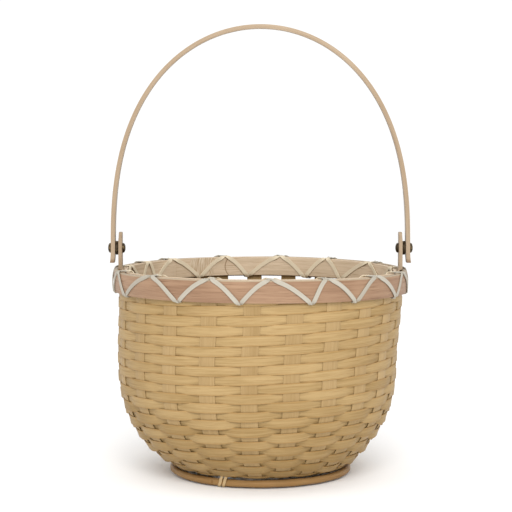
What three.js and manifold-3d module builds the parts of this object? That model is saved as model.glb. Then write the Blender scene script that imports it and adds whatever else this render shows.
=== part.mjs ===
// A round bamboo market basket with a tall swinging bail, in millimetres, +Z up.
// The origin is on the ground under the middle of the basket. The bail turns about a line along X.
// Azimuths run from the front (-Y) towards the right (+X).
import * as THREE from "three";
import { mergeVertices } from "three/addons/utils/BufferGeometryUtils.js";
import Module from "manifold-3d";

const wasm = await Module();
wasm.setup();

// ---------------------------------------------------------------- driving dimensions
const RIM_TOP = 174.2; // height of the hoops' top edge
const HOOP_HEIGHT = 19.2;
const HOOP_BOTTOM = RIM_TOP - HOOP_HEIGHT;
const RIM_RADIUS = 125.2; // outside of the outer hoop
const BAIL_TOP = 382.2; // overall height
const PIVOT_HEIGHT = 192.7; // rivets, above the ground
const GAP = 0.3; // clearance between touching pieces
const RING_SEGMENTS = 48; // round pieces are prisms of this many sides

// Outside of the woven wall: a flat floor, a tight turn, a long arc and a slightly flared side.
const FLOOR_UNDERSIDE = 7.4;
const TURN_RADIUS = 14;
const BOWL_RADIUS = 100;
const BOWL_CENTRE = new THREE.Vector2(19.2, 91.2);
const FLARE = THREE.MathUtils.degToRad(1.9);

// Weave
const STAKES_IN_FRONT = 11; // gaps between stakes from the left ear to the right ear, round the front
const STAKES_BEHIND = 12; // the same, round the back
const STAKE_COUNT = STAKES_IN_FRONT + STAKES_BEHIND;
const STAKE_WIDTH = 12;
const STAKE_FLOOR_WIDTH = 7.8; // the long stakes are shaved narrower where they cross
const STAKE_THICKNESS = 1.2;
const CHECK_PITCH = 9.2; // spacing of the long stakes where they cross in the floor
const WEAVER_THICKNESS = 1.0;
const WEAVER_PITCH = 7.85; // one round of weaving, measured up the wall
const ROUNDS_PER_WEAVER = 3;
const WEAVER_COUNT = 7;
const STAKE_INSET = WEAVER_THICKNESS + 0.8; // wall outside to stake outside

// Rim
const OUTER_HOOP_THICKNESS = 3.8;
const INNER_HOOP_RADIUS = 116.1; // outside of the inner hoop
const INNER_HOOP_THICKNESS = 2.8;
const LASHING_THICKNESS = 0.9;
const LASHING_WIDTH = 4.6; // measured round the rim
// The gaps between stakes that it dips through, counted on round the rim from the first stake
const LASHED_GAPS = [19, 21, 22, 24, 25, 27, 28, 30, 32, 33, 35, 36, 38, 39, 41];
const FILLER_RADIUS = 116.6; // inside of the strip between the hoops
const FILLER_THICKNESS = 1.4;
const FILLER_HEIGHT = 11;
const FILLER_END = THREE.MathUtils.degToRad(4.5); // how far from the middle of an ear it stops

// Foot
const FOOT_RING_RADIUS = 74.6;
const CANE_RADIUS = 3.05;
const TIE_THICKNESS = 0.7;
const TIE_WIDTH = 5;
const TIE_GAPS = [21, 6, 14]; // the gaps between stakes where the ties go through the floor
const TIE_SHIFTS = [0.08, 0, 0]; // radians that each is pulled along from the middle of its gap

// Bail, ears and rivets
const EAR_INSIDE = 117.8; // inner face of the ear above the rim
const EAR_THICKNESS = 3.3;
const EAR_WIDTH = 12;
const EAR_TOP = PIVOT_HEIGHT + 13.5;
const EAR_TAIL_THICKNESS = 1.6;
const EAR_TAIL_END = 107.2;
const WASHER_THICKNESS = 2.0;
const WASHER_RADIUS = 5.9;
const BAIL_THICKNESS = 3.8;
const BAIL_WIDTH = 12;
const BAIL_TAIL = 12.4; // the part of the bail below its rivet
const BAIL_SQUARENESS = 2.52; // exponent of the arch's height: 2 would be an ellipse
const RIVET_HEAD_RADIUS = 4.2;
const RIVET_HEAD_HEIGHT = 2.3;
const RIVET_SHANK_RADIUS = 2.0;
const RIVET_HOLE_RADIUS = 2.5;
const BRAD_SHANK_RADIUS = 0.45;
const BRAD_HEAD_RADIUS = 1;
const BRAD_HEAD_HEIGHT = 0.8;
const BRAD_LENGTH = 5;
const BRAD_HEIGHTS = [167.2, 172.2];
const BRAD_SIDE = 3.5; // from the middle of the ear

const WASHER_INSIDE = EAR_INSIDE + EAR_THICKNESS + GAP;
const BAIL_INSIDE = WASHER_INSIDE + WASHER_THICKNESS + GAP;
const BAIL_MIDDLE = BAIL_INSIDE + BAIL_THICKNESS / 2;

// ---------------------------------------------------------------- materials
const material = (color, roughness = 0.6, metalness = 0) =>
  new THREE.MeshStandardMaterial({ color, roughness, metalness });
const splint = material(0xd9bc82);
const stakeBamboo = material(0xcfae7a);
const hoopSkin = material(0xc29a80, 0.5);
const hoopFlesh = material(0xd4b78c);
const paleCane = material(0xe6ddc0, 0.55);
const rattan = material(0xb08a5f);
const bailBamboo = material(0xd2b791, 0.5);
const agedBrass = material(0x55482f, 0.4, 0.9);

// ---------------------------------------------------------------- making solids
const basket = new THREE.Group();

function addPiece(name, geometry, finish, parent = basket) {
  const mesh = new THREE.Mesh(geometry, finish);
  mesh.name = name;
  parent.add(mesh);
  return mesh;
}

function toSolid(geometry) {
  const bare = geometry.clone();
  bare.deleteAttribute("normal");
  bare.deleteAttribute("uv");
  const merged = mergeVertices(bare, 1e-3);
  return new wasm.Manifold(
    new wasm.Mesh({
      numProp: 3,
      vertProperties: merged.attributes.position.array,
      triVerts: new Uint32Array(merged.index.array),
    }),
  );
}

function toGeometry(solid) {
  const mesh = solid.getMesh();
  return new THREE.BufferGeometry()
    .setAttribute("position", new THREE.BufferAttribute(mesh.vertProperties, 3))
    .setIndex(new THREE.BufferAttribute(mesh.triVerts, 1));
}

function cut(geometry, tools) {
  const solid = tools.reduce((left, tool) => left.subtract(toSolid(tool)), toSolid(geometry));
  return toGeometry(solid);
}

function join(geometries) {
  const solids = geometries.map(toSolid);
  return toGeometry(solids.reduce((left, right) => left.add(right)));
}

// A flat strip: a box cut into steps along its length, then bent. place(u, side, depth) gives the
// point at u (0 to 1) along the strip, side (-1 to 1) across its width, depth (-1 to 1) through it.
function bentStrip(steps, place) {
  const strip = new THREE.BoxGeometry(1, 2, 2, steps, 1, 1);
  const points = strip.attributes.position;
  for (let i = 0; i < points.count; i++) {
    const bent = place(points.getX(i) + 0.5, points.getY(i), points.getZ(i));
    points.setXYZ(i, bent.x, bent.y, bent.z);
  }
  return strip;
}

// A ring about Z from a closed outline of (radius, height) points, taken anticlockwise.
function ring(outline) {
  return new THREE.LatheGeometry([...outline, outline[0]], RING_SEGMENTS).rotateX(Math.PI / 2);
}

// A cylinder or a turned piece with its axis along X, from a profile of (radius, x) points.
function turned(profile, sides = 16) {
  const outline = profile.map(([radius, x]) => new THREE.Vector2(radius, x));
  return new THREE.LatheGeometry(outline, sides).rotateZ(-Math.PI / 2);
}

function pin(radius, from, to, sides = 16) {
  return turned([[0, from], [radius, from], [radius, to], [0, to]], sides);
}

const outward = (azimuth) => new THREE.Vector3(Math.sin(azimuth), -Math.cos(azimuth), 0);
const sideways = (azimuth) => new THREE.Vector3(Math.cos(azimuth), Math.sin(azimuth), 0);
const up = new THREE.Vector3(0, 0, 1);
const FRONT = 0;
const RIGHT = Math.PI / 2;
const BACK = Math.PI;
const LEFT = 1.5 * Math.PI;

// ---------------------------------------------------------------- wall profile
function makeWallProfile() {
  const turnHeight = FLOOR_UNDERSIDE + TURN_RADIUS;
  const reach = BOWL_RADIUS - TURN_RADIUS;
  const drop = BOWL_CENTRE.y - turnHeight;
  const turnCentre = BOWL_CENTRE.x + Math.sqrt(reach ** 2 - drop ** 2);
  const meeting = -Math.asin(drop / reach);
  const profile = new THREE.Path();
  profile.moveTo(0, FLOOR_UNDERSIDE);
  profile.lineTo(turnCentre, FLOOR_UNDERSIDE);
  profile.absarc(turnCentre, turnHeight, TURN_RADIUS, -Math.PI / 2, meeting, false);
  profile.absarc(BOWL_CENTRE.x, BOWL_CENTRE.y, BOWL_RADIUS, meeting, -FLARE, false);
  const sideFoot = BOWL_CENTRE.y - BOWL_RADIUS * Math.sin(FLARE);
  const sideRadius = BOWL_CENTRE.x + BOWL_RADIUS * Math.cos(FLARE);
  profile.lineTo(sideRadius + (RIM_TOP - sideFoot) * Math.tan(FLARE), RIM_TOP);
  return { profile, floorRadius: turnCentre, length: profile.getLength() };
}
const wall = makeWallProfile();

// The (radius, height) point at a distance along the wall's outside, moved inwards by inset.
function wallPoint(distance, inset = 0) {
  const u = THREE.MathUtils.clamp(distance / wall.length, 0, 1);
  const point = wall.profile.getPointAt(u);
  const tangent = wall.profile.getTangentAt(u);
  return new THREE.Vector2(point.x - tangent.y * inset, point.y + tangent.x * inset);
}

// The outline of a round of wall between two distances, with its outside at the wall's own.
function wallBand(from, to, steps) {
  const outside = [];
  const inside = [];
  for (let i = 0; i <= steps; i++) {
    const distance = THREE.MathUtils.lerp(from, to, i / steps);
    outside.push(wallPoint(distance));
    inside.unshift(wallPoint(distance, WEAVER_THICKNESS));
  }
  return [...outside, ...inside];
}

// ---------------------------------------------------------------- where the stakes stand
// Stake 0 stands left of the front, and they count round by the right. Two of them carry the ears.
const RIGHT_EAR_STAKE = 6;
const LEFT_EAR_STAKE = RIGHT_EAR_STAKE + STAKES_BEHIND;
const FRONT_DRIFT = THREE.MathUtils.degToRad(5); // hand-set stakes lean to the right in front
const BACK_DRIFT = THREE.MathUtils.degToRad(2.5);

function stakeAzimuth(index) {
  const rounds = Math.floor((index - RIGHT_EAR_STAKE) / STAKE_COUNT);
  const past = index - RIGHT_EAR_STAKE - rounds * STAKE_COUNT;
  const even =
    past <= STAKES_BEHIND
      ? Math.PI * (0.5 + past / STAKES_BEHIND)
      : Math.PI * (1.5 + (past - STAKES_BEHIND) / STAKES_IN_FRONT);
  const facing = Math.cos(even);
  const drift = facing > 0 ? FRONT_DRIFT : -BACK_DRIFT;
  return even + drift * facing + 2 * Math.PI * rounds;
}

// The middle of the gap after a stake.
const gapAzimuth = (index) => (stakeAzimuth(index) + stakeAzimuth(index + 1)) / 2;

// ---------------------------------------------------------------- foot ring and its ties
function footRing() {
  const sides = 8;
  const outline = [];
  for (let i = 0; i < sides; i++) {
    const turn = ((i + 0.5) / sides) * 2 * Math.PI;
    const radius = CANE_RADIUS / Math.cos(Math.PI / sides);
    outline.push(
      new THREE.Vector2(
        FOOT_RING_RADIUS + radius * Math.cos(turn),
        TIE_THICKNESS + GAP + CANE_RADIUS + radius * Math.sin(turn),
      ),
    );
  }
  return ring(outline);
}

// A band of split cane round the foot ring and the edge of the floor, swollen by grow for its holes.
function footTie(grow = 0) {
  const inner = CANE_RADIUS + GAP;
  const outer = inner + TIE_THICKNESS + grow;
  const top = FLOOR_UNDERSIDE + WEAVER_THICKNESS + GAP;
  const band = new THREE.Shape();
  band.moveTo(-outer, -grow);
  band.lineTo(outer, -grow);
  band.lineTo(outer, top + TIE_THICKNESS + grow);
  band.lineTo(-outer, top + TIE_THICKNESS + grow);
  band.closePath();
  const hollow = new THREE.Path();
  hollow.moveTo(-inner + grow, TIE_THICKNESS + grow);
  hollow.lineTo(-inner + grow, top - grow);
  hollow.lineTo(inner - grow, top - grow);
  hollow.lineTo(inner - grow, TIE_THICKNESS + grow);
  hollow.closePath();
  band.holes.push(hollow);
  const width = TIE_WIDTH + 2 * grow;
  return new THREE.ExtrudeGeometry(band, { depth: width, bevelEnabled: false })
    .translate(FOOT_RING_RADIUS, 0, -width / 2)
    .rotateX(Math.PI / 2);
}

const tieTurns = TIE_GAPS.map((gap, i) => gapAzimuth(gap) + TIE_SHIFTS[i] - Math.PI / 2);
const tieHoles = tieTurns.map((turn) => footTie(GAP).rotateZ(turn));
addPiece("foot_ring", footRing(), rattan);
tieTurns.forEach((turn, i) => addPiece(`foot_ring_tie_${i + 1}`, footTie().rotateZ(turn), paleCane));

// ---------------------------------------------------------------- floor and weavers
// The floor is a plain disc where the weaving starts, and each weaver above it a plain band.
function floorWeave() {
  const top = FLOOR_UNDERSIDE + WEAVER_THICKNESS;
  const disc = new THREE.LatheGeometry(
    [
      new THREE.Vector2(0, FLOOR_UNDERSIDE),
      new THREE.Vector2(wall.floorRadius, FLOOR_UNDERSIDE),
      new THREE.Vector2(wall.floorRadius, top),
      new THREE.Vector2(0, top),
    ],
    RING_SEGMENTS,
  ).rotateX(Math.PI / 2);
  return cut(disc, tieHoles);
}
addPiece("floor_weave", floorWeave(), splint);

const bandHeight = ROUNDS_PER_WEAVER * WEAVER_PITCH;
const BAND_STEPS = 3;
for (let i = 0; i < WEAVER_COUNT; i++) {
  const from = wall.floorRadius + GAP + i * bandHeight;
  const band = ring(wallBand(from, from + bandHeight - GAP, BAND_STEPS));
  addPiece(`weaver_${i + 1}`, i === 0 ? cut(band, tieHoles) : band, splint);
}

// ---------------------------------------------------------------- stakes
// The plan point at a distance along half a stake. It crosses the floor along `heading`, at `offset`
// from the centre, and eases over to its own azimuth before it reaches the edge of the floor.
const FAN_START = 22;
const FAN_END = 55;
function planPoint(half, distance) {
  const straight = outward(half.heading).multiplyScalar(distance);
  straight.addScaledVector(sideways(half.heading), half.offset);
  const radial = outward(half.azimuth).multiplyScalar(distance);
  return straight.lerp(radial, THREE.MathUtils.smoothstep(distance, FAN_START, FAN_END));
}

// Distances from the middle of the floor at which a stake bends: closer together in the turn.
const TOP = wall.length - 0.5;
const STATIONS = [0, 11, 22, 31, 40, 48, 56, 65, 73, 79, 85, 92, 102, 115, 130, 148, 168, TOP];
const LAYER = STAKE_THICKNESS + GAP; // the stakes that cross on top lie this much higher

function stakePoint(half, distance, side, depth) {
  const ahead = planPoint(half, distance + 1);
  const fanned = distance >= FAN_END;
  const way = fanned ? outward(half.azimuth) : ahead.sub(planPoint(half, distance)).normalize();
  const raised = 1 - THREE.MathUtils.clamp((distance - FAN_END) / (wall.floorRadius - FAN_END), 0, 1);
  const inset = STAKE_INSET + half.layer * LAYER * raised + ((1 + depth) * STAKE_THICKNESS) / 2;
  const inner = wallPoint(distance, inset);
  const widening = THREE.MathUtils.smoothstep(distance, 40, 110);
  const width = THREE.MathUtils.lerp(STAKE_FLOOR_WIDTH, STAKE_WIDTH, widening);
  const point = distance < wall.floorRadius
    ? planPoint(half, distance)
    : outward(half.azimuth).multiplyScalar(inner.x);
  point.addScaledVector(new THREE.Vector3(-way.y, way.x, 0), (side * width) / 2);
  return point.addScaledVector(up, inner.y);
}

function stationPoint(half, station, side, depth) {
  return stakePoint(half, STATIONS[Math.round(station)], side, depth);
}

function longStake(near, far) {
  const steps = STATIONS.length - 1;
  return bentStrip(2 * steps, (u, side, depth) => {
    const station = (2 * u - 1) * steps;
    return station < 0
      ? stationPoint(near, -station, -side, depth)
      : stationPoint(far, station, side, depth);
  });
}

const CROSSWISE = 5; // stakes that run from left to right
const LENGTHWISE = 6; // stakes that run from front to back
for (let i = 0; i < CROSSWISE; i++) {
  const place = i - (CROSSWISE - 1) / 2;
  const offset = place * CHECK_PITCH;
  const right = {
    heading: RIGHT, offset, azimuth: stakeAzimuth(RIGHT_EAR_STAKE + place), layer: 1,
  };
  const left = {
    heading: LEFT, offset: -offset, azimuth: stakeAzimuth(LEFT_EAR_STAKE - place), layer: 1,
  };
  addPiece(`crosswise_stake_${i + 1}`, longStake(left, right), stakeBamboo);
}
const BYE_STAKE = RIGHT_EAR_STAKE + STAKES_BEHIND / 2; // the odd stake, at the back
for (let i = 0; i < LENGTHWISE; i++) {
  const place = i - (LENGTHWISE - 1) / 2;
  const offset = place * CHECK_PITCH;
  const frontIndex = place + 0.5;
  const backIndex = BYE_STAKE - place + (place > 0 ? -0.5 : 0.5);
  const front = { heading: FRONT, offset, azimuth: stakeAzimuth(frontIndex), layer: 0 };
  const back = { heading: BACK, offset: -offset, azimuth: stakeAzimuth(backIndex), layer: 0 };
  addPiece(`lengthwise_stake_${i + 1}`, longStake(front, back), stakeBamboo);
}

// The bye stake is a short one whose foot is tucked in where the fan opens.
const BYE_FOOT = 6; // the station where it starts
function byeStake() {
  const azimuth = stakeAzimuth(BYE_STAKE);
  const half = { heading: azimuth, offset: 0, azimuth, layer: 0 };
  const steps = STATIONS.length - 1 - BYE_FOOT;
  return bentStrip(steps, (u, side, depth) => stationPoint(half, BYE_FOOT + u * steps, side, depth));
}
addPiece("bye_stake", byeStake(), stakeBamboo);

// ---------------------------------------------------------------- hoops
function brads(side) {
  const start = INNER_HOOP_RADIUS - INNER_HOOP_THICKNESS - GAP;
  const profile = [
    [0, start - BRAD_HEAD_HEIGHT],
    [BRAD_HEAD_RADIUS, start - BRAD_HEAD_HEIGHT],
    [BRAD_HEAD_RADIUS, start],
    [BRAD_SHANK_RADIUS, start],
    [BRAD_SHANK_RADIUS, start + BRAD_LENGTH],
    [0, start + BRAD_LENGTH],
  ];
  return BRAD_HEIGHTS.map((height) =>
    turned(profile, 8).rotateZ(side > 0 ? 0 : Math.PI).translate(0, -BRAD_SIDE, height));
}

const bradHoles = (side) =>
  BRAD_HEIGHTS.map((height) => {
    const x = side * (INNER_HOOP_RADIUS + 2);
    return pin(BRAD_SHANK_RADIUS + GAP, -8, 8, 8).translate(x, -BRAD_SIDE, height);
  });

function innerHoop() {
  const outside = INNER_HOOP_RADIUS;
  const inside = INNER_HOOP_RADIUS - INNER_HOOP_THICKNESS;
  const band = ring([
    new THREE.Vector2(inside, HOOP_BOTTOM),
    new THREE.Vector2(outside, HOOP_BOTTOM),
    new THREE.Vector2(outside, RIM_TOP),
    new THREE.Vector2(inside, RIM_TOP),
  ]);
  return cut(band, [...bradHoles(1), ...bradHoles(-1)]);
}

// The outer hoop is split from a thick culm, so its outer edges are eased.
const HOOP_EASE = 1.2;
function outerHoop() {
  const inside = RIM_RADIUS - OUTER_HOOP_THICKNESS;
  return ring([
    new THREE.Vector2(inside, HOOP_BOTTOM),
    new THREE.Vector2(RIM_RADIUS - HOOP_EASE, HOOP_BOTTOM),
    new THREE.Vector2(RIM_RADIUS, HOOP_BOTTOM + 2 * HOOP_EASE),
    new THREE.Vector2(RIM_RADIUS, RIM_TOP - 2 * HOOP_EASE),
    new THREE.Vector2(RIM_RADIUS - HOOP_EASE, RIM_TOP),
    new THREE.Vector2(inside, RIM_TOP),
  ]);
}
addPiece("inner_hoop", innerHoop(), hoopFlesh);
addPiece("outer_hoop", outerHoop(), hoopSkin);

// A strip on edge between the hoops, from ear to ear.
function rimFiller(middle) {
  const sweep = Math.PI - 2 * FILLER_END;
  return bentStrip(24, (u, side, depth) => {
    const radius = FILLER_RADIUS + ((1 + depth) * FILLER_THICKNESS) / 2;
    const point = outward(middle + (u - 0.5) * sweep).multiplyScalar(radius);
    return point.addScaledVector(up, RIM_TOP - ((1 - side) * FILLER_HEIGHT) / 2);
  });
}
addPiece("rim_filler_front", rimFiller(FRONT), hoopFlesh);
addPiece("rim_filler_back", rimFiller(BACK), hoopFlesh);

// ---------------------------------------------------------------- lashing
// One long cane goes round the rim twice, over both hoops and down between the stakes. It leans one
// way on the first round and the other way on the second, and dips through the same gaps.
const lashingDips = [...LASHED_GAPS, LASHED_GAPS[0] + STAKE_COUNT].map(gapAzimuth);

const FACE_STEPS = 3; // on each slanting run
const FACE_GAP = 2 * GAP; // clearance to the inner hoop, whose flats stand in a little
const LASHING_END_GAP = 0.004; // radians between its two ends
function lashingPass(outsideRises) {
  const low = HOOP_BOTTOM - GAP;
  const high = RIM_TOP + GAP;
  const corners = {
    outer: [RIM_RADIUS + GAP, 1],
    inner: [INNER_HOOP_RADIUS - INNER_HOOP_THICKNESS - FACE_GAP, -1],
  };
  const stops = [];
  for (let turn = 0; turn < LASHED_GAPS.length; turn++) {
    const dip = lashingDips[turn];
    const next = lashingDips[turn + 1];
    const crest = (dip + next) / 2;
    const [first, second] = outsideRises ? ["outer", "inner"] : ["inner", "outer"];
    for (let i = 0; i <= FACE_STEPS; i++) {
      const climb = i / FACE_STEPS;
      stops.push({ face: first, climb, azimuth: dip + (crest - dip) * climb });
    }
    for (let i = 0; i <= FACE_STEPS; i++) {
      const fall = i / FACE_STEPS;
      stops.push({ face: second, climb: 1 - fall, azimuth: crest + (next - crest) * fall });
    }
  }
  stops[stops.length - 1].azimuth -= LASHING_END_GAP;
  return bentStrip(stops.length - 1, (u, side, depth) => {
    const stop = stops[Math.round(u * (stops.length - 1))];
    const [radius, sign] = corners[stop.face];
    const lift = ((1 + depth) * LASHING_THICKNESS) / 2;
    const reach = radius + sign * lift;
    const turnedSide = outsideRises ? -side : side;
    const azimuth = stop.azimuth + (turnedSide * LASHING_WIDTH) / 2 / RIM_RADIUS;
    const point = outward(azimuth).multiplyScalar(reach);
    return point.addScaledVector(up, THREE.MathUtils.lerp(low - lift, high + lift, stop.climb));
  });
}
addPiece("rim_lashing", join([lashingPass(true), lashingPass(false)]), paleCane);

// ---------------------------------------------------------------- ears, washers, rivets and brads
// An ear is a thick splint that stands on the middle stake of its side, with a thinned tail behind it.
function wallRadiusAt(height) {
  const rise = height - BOWL_CENTRE.y + BOWL_RADIUS * Math.sin(FLARE);
  return BOWL_CENTRE.x + BOWL_RADIUS * Math.cos(FLARE) + rise * Math.tan(FLARE);
}

function rightEar() {
  const outside = EAR_INSIDE + EAR_THICKNESS;
  const shoulder = RIM_TOP + GAP;
  const behindStake = (height) => wallRadiusAt(height) - STAKE_INSET - STAKE_THICKNESS - GAP;
  const side = new THREE.Shape();
  side.moveTo(behindStake(EAR_TAIL_END), EAR_TAIL_END);
  side.lineTo(behindStake(shoulder), shoulder);
  side.lineTo(outside, shoulder);
  side.lineTo(outside, EAR_TOP);
  side.lineTo(EAR_INSIDE, EAR_TOP);
  side.lineTo(EAR_INSIDE, shoulder + 4);
  side.lineTo(behindStake(shoulder) - EAR_TAIL_THICKNESS, shoulder);
  side.lineTo(behindStake(EAR_TAIL_END) - EAR_TAIL_THICKNESS, EAR_TAIL_END);
  side.closePath();
  return new THREE.ExtrudeGeometry(side, { depth: EAR_WIDTH, bevelEnabled: false })
    .rotateX(Math.PI / 2)
    .translate(0, EAR_WIDTH / 2, 0);
}

function washer(side) {
  const outline = [
    [RIVET_SHANK_RADIUS + GAP, WASHER_INSIDE],
    [WASHER_RADIUS, WASHER_INSIDE],
    [WASHER_RADIUS, WASHER_INSIDE + WASHER_THICKNESS],
    [RIVET_SHANK_RADIUS + GAP, WASHER_INSIDE + WASHER_THICKNESS],
    [RIVET_SHANK_RADIUS + GAP, WASHER_INSIDE],
  ];
  return turned(outline, 20).translate(0, 0, PIVOT_HEIGHT).rotateZ(side > 0 ? 0 : Math.PI);
}

const CAP_INSIDE = BAIL_INSIDE + BAIL_THICKNESS + GAP;
const CAP_OUTSIDE = CAP_INSIDE + RIVET_HEAD_HEIGHT;
const SHANK_END = CAP_OUTSIDE - 1;
function rivetPost(side) {
  const head = EAR_INSIDE - GAP;
  const start = head - RIVET_HEAD_HEIGHT;
  const profile = [
    [0, start],
    [RIVET_HEAD_RADIUS * 0.7, start],
    [RIVET_HEAD_RADIUS, start + RIVET_HEAD_HEIGHT * 0.6],
    [RIVET_HEAD_RADIUS, head],
    [RIVET_SHANK_RADIUS, head],
    [RIVET_SHANK_RADIUS, SHANK_END],
    [0, SHANK_END],
  ];
  return turned(profile).translate(0, 0, PIVOT_HEIGHT).rotateZ(side > 0 ? 0 : Math.PI);
}

function rivetCap(side) {
  const profile = [
    [0, SHANK_END + GAP],
    [RIVET_SHANK_RADIUS + GAP, SHANK_END + GAP],
    [RIVET_SHANK_RADIUS + GAP, CAP_INSIDE],
    [RIVET_HEAD_RADIUS, CAP_INSIDE],
    [RIVET_HEAD_RADIUS, CAP_OUTSIDE - RIVET_HEAD_HEIGHT * 0.6],
    [RIVET_HEAD_RADIUS * 0.7, CAP_OUTSIDE],
    [0, CAP_OUTSIDE],
  ];
  return turned(profile).translate(0, 0, PIVOT_HEIGHT).rotateZ(side > 0 ? 0 : Math.PI);
}

for (const [name, side] of [["left", -1], ["right", 1]]) {
  const postHole = pin(RIVET_SHANK_RADIUS + GAP, EAR_INSIDE - 2, EAR_INSIDE + EAR_THICKNESS + 2);
  postHole.translate(0, 0, PIVOT_HEIGHT).rotateZ(side > 0 ? 0 : Math.PI);
  const ear = rightEar().rotateZ(side > 0 ? 0 : Math.PI);
  addPiece(`${name}_ear`, cut(ear, [postHole, ...bradHoles(side)]), bailBamboo);
  addPiece(`${name}_washer`, washer(side), agedBrass);
  addPiece(`${name}_rivet_post`, rivetPost(side), agedBrass);
  addPiece(`${name}_rivet_cap`, rivetCap(side), agedBrass);
  brads(side).forEach((brad, i) => addPiece(`${name}_brad_${i + 1}`, brad, agedBrass));
}

// ---------------------------------------------------------------- bail
const ARCH_STEPS = 35; // odd, so that one flat facet lies across the very top
function bail() {
  const rise = BAIL_TOP - BAIL_THICKNESS / 2 - PIVOT_HEIGHT;
  const line = [new THREE.Vector2(BAIL_MIDDLE, -BAIL_TAIL)];
  for (let i = 0; i <= ARCH_STEPS; i++) {
    const turn = (Math.PI * i) / ARCH_STEPS;
    const height = rise * Math.sin(turn) ** (2 / BAIL_SQUARENESS);
    line.push(new THREE.Vector2(BAIL_MIDDLE * Math.cos(turn), height));
  }
  line.push(new THREE.Vector2(-BAIL_MIDDLE, -BAIL_TAIL));
  const face = (offset) =>
    line.map((point, i) => {
      const before = line[Math.max(i - 1, 0)];
      const after = line[Math.min(i + 1, line.length - 1)];
      const way = after.clone().sub(before).normalize();
      return new THREE.Vector2(point.x + way.y * offset, point.y - way.x * offset);
    });
  const outline = new THREE.Shape([...face(BAIL_THICKNESS / 2), ...face(-BAIL_THICKNESS / 2).reverse()]);
  const strip = new THREE.ExtrudeGeometry(outline, { depth: BAIL_WIDTH, bevelEnabled: false })
    .rotateX(Math.PI / 2)
    .translate(0, BAIL_WIDTH / 2, PIVOT_HEIGHT);
  const holes = [-1, 1].map((side) =>
    pin(RIVET_HOLE_RADIUS, -6, 6).translate(side * BAIL_MIDDLE, 0, PIVOT_HEIGHT));
  return cut(strip, holes);
}
addPiece("bail", bail(), bailBamboo);

export default basket;
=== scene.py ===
# A round bamboo market basket: woven bowl, lashed double hoop, cane foot ring and swinging bail.
# Sizes are in metres. Azimuths run from the front (-Y) towards the right (+X).
import random
from functools import lru_cache
from math import asin, atan2, cos, floor, pi, radians, sin, sqrt, tan

import bmesh
import bpy
from mathutils import Matrix, Vector


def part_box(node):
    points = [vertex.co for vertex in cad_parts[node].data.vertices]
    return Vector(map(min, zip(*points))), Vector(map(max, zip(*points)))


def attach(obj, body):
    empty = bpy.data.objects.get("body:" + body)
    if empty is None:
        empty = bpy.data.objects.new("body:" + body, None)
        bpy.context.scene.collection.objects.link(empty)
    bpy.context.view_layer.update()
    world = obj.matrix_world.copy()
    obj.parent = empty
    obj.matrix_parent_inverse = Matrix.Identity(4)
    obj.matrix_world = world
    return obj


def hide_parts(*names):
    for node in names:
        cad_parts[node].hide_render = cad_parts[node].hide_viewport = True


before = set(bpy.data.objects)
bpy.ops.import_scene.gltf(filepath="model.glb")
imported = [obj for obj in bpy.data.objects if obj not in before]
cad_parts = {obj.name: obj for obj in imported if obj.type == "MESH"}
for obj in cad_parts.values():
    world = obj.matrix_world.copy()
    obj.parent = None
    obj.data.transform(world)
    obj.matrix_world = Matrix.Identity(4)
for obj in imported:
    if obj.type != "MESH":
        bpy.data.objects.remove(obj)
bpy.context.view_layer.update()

# ---------------------------------------------------------------- the long stakes
# Flat bamboo splints that start in the floor, cross there over and under each other, fan out and
# climb the wall to the rim. Five run from left to right and six from front to back, and one odd
# stake at the back starts on its own, so that the weaving falls the other way on each round.
MM = 0.001
FLOOR_UNDERSIDE = 7.4 * MM
TURN_RADIUS = 14 * MM
BOWL_RADIUS = 100 * MM
BOWL_X, BOWL_Z = 19.2 * MM, 91.2 * MM
FLARE = radians(1.9)
RIM_TOP = 174.2 * MM

turn_z = FLOOR_UNDERSIDE + TURN_RADIUS
turn_x = BOWL_X + sqrt((BOWL_RADIUS - TURN_RADIUS) ** 2 - (BOWL_Z - turn_z) ** 2)
meeting = asin((turn_z - BOWL_Z) / (BOWL_RADIUS - TURN_RADIUS))
turn_length = TURN_RADIUS * (meeting + pi / 2)
bowl_length = BOWL_RADIUS * (-FLARE - meeting)
side_x = BOWL_X + BOWL_RADIUS * cos(FLARE)
side_z = BOWL_Z - BOWL_RADIUS * sin(FLARE)
side_length = (RIM_TOP - side_z) / cos(FLARE)
wall_length = turn_x + turn_length + bowl_length + side_length


def wall_point(distance, inset):
    """(radius, height) at a distance up the outside of the wall from the middle of the floor."""
    if distance < turn_x:
        return distance, FLOOR_UNDERSIDE + inset
    distance -= turn_x
    if distance < turn_length:
        angle = distance / TURN_RADIUS - pi / 2
        reach = TURN_RADIUS - inset
        return turn_x + reach * cos(angle), turn_z + reach * sin(angle)
    distance -= turn_length
    if distance < bowl_length:
        angle = meeting + distance / BOWL_RADIUS
        reach = BOWL_RADIUS - inset
        return BOWL_X + reach * cos(angle), BOWL_Z + reach * sin(angle)
    distance -= bowl_length
    x = side_x + distance * sin(FLARE) - inset * cos(FLARE)
    return x, side_z + distance * cos(FLARE) + inset * sin(FLARE)


def smooth(low, high, value):
    t = min(max((value - low) / (high - low), 0), 1)
    return t * t * (3 - 2 * t)


LEAN = 2.6 * MM
LEAN_GROWS = (FLOOR_UNDERSIDE + 1 * MM, 29 * MM)
LEAN_FADES = (98 * MM, 153 * MM)


def leaning(point):
    """The bowl was pulled a little to the left as it was woven, though not at its floor or its rim."""
    share = smooth(*LEAN_GROWS, point.z) * (1 - smooth(*LEAN_FADES, point.z))
    return point - Vector((LEAN * share, 0, 0))


RIM_LIFT, RIM_SAG, RIM_TILT = 0.6 * MM, 1.2 * MM, 0.5 * MM
RIM_FOLLOWED = (120 * MM, 158 * MM)


def rim_rise(azimuth):
    """The hand-bent hoops do not lie quite level: they sag at the ears, and more on the right."""
    return RIM_LIFT + RIM_SAG * cos(azimuth) ** 2 - RIM_TILT * sin(azimuth)


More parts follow.
